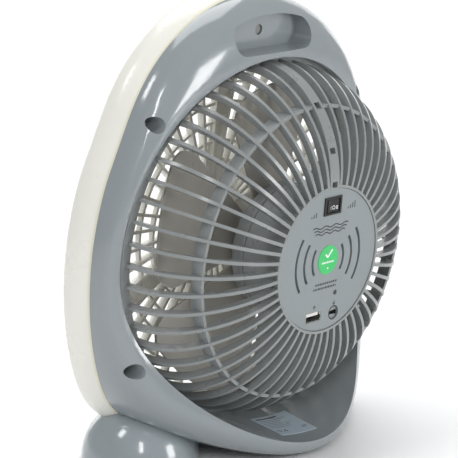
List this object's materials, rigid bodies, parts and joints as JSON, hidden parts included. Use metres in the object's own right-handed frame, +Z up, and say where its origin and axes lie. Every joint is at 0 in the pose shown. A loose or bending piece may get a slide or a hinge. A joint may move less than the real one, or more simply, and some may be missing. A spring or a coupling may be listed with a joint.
{
  "type": "rechargeable table fan",
  "caption": "Portable rechargeable table fan with a domed radial rear grille, a hub with switch and ports, a carry-handle pocket and two ball feet.",
  "frame": {"origin": "on the floor, below the middle of the whole fan's box", "axes": "+Z up, air blows towards -Y, hub controls face +Y, +X is the fan's own left"},
  "size_m": [0.244, 0.1218, 0.2721],
  "materials": {
    "front_plastic": "warm off-white moulded ABS, semi-gloss",
    "rear_plastic": "glossy mid-grey moulded ABS",
    "grille_grey": "mid-grey moulded ABS, satin",
    "plate_grey": "mid-grey moulded ABS, fine matt grain",
    "foot_grey": "glossy mid-grey moulded ABS",
    "fan_plastic": "smoky translucent moulded plastic, satin",
    "tongue_white": "white moulded insulator",
    "black_plastic": "black moulded nylon",
    "pad_rubber": "black rubber, matt",
    "screw_steel": "zinc-plated steel",
    "motor_steel": "plated steel",
    "magnet_ferrite": "dark sintered ferrite",
    "winding_copper": "enamelled copper",
    "contact_brass": "brass",
    "port_metal": "nickel-plated steel",
    "board_green": "glass-fibre board, green mask",
    "cell_wrap": "shrink wrap",
    "light_lens": "clear diffusing lens",
    "label_film": "pale blue-grey printed film",
    "sticker_green": "green printed paper"
  },
  "bodies": {
    "housing": {"front_shell": "front_plastic", "front_grille": "front_plastic", "front_cap": "front_plastic", "rear_shell": "rear_plastic", "rear_grille": "grille_grey", "hub_plate": "plate_grey", "motor_cover": "grille_grey", "left_foot": "foot_grey", "right_foot": "foot_grey", "left_foot_pad": "pad_rubber", "right_foot_pad": "pad_rubber", "motor_can": "motor_steel", "motor_end_cap": "black_plastic", "motor_magnets": "magnet_ferrite", "motor_brushes": "magnet_ferrite", "front_bushing": "contact_brass", "rear_bushing": "contact_brass", "rocker_housing": "black_plastic", "rocker_terminals": "contact_brass", "usb_shell": "port_metal", "usb_tongue": "tongue_white", "charge_port": "port_metal", "charge_tongue": "black_plastic", "status_light": "light_lens", "control_board": "board_green", "board_screws": "screw_steel", "battery_cell": "cell_wrap", "battery_cradle": "black_plastic", "battery_tabs": "port_metal", "motor_leads": "black_plastic", "switch_leads": "black_plastic", "shell_screws": "screw_steel", "cover_screws": "screw_steel", "motor_screws": "screw_steel", "foot_screws": "screw_steel", "rating_label": "label_film", "round_sticker": "sticker_green"},
    "rotor": {"motor_shaft": "motor_steel", "armature_core": "motor_steel", "armature_windings": "winding_copper", "commutator": "contact_brass", "impeller": "fan_plastic", "impeller_nut": "black_plastic"},
    "rocker": {"rocker_button": "black_plastic"}
  },
  "joints": [
    {"name": "fan_spin", "type": "hinge", "parent": "housing", "child": "rotor", "pos_m": [0, 0.00685, 0.12285], "axis": [0, -0.9953, 0.0971], "continuous": true},
    {"name": "rocker_tilt", "type": "hinge", "parent": "housing", "child": "rocker", "pos_m": [0, 0.05675, 0.15034], "axis": [0, 0.0971, 0.9953], "range_deg": [-10, 10]}
  ]
}
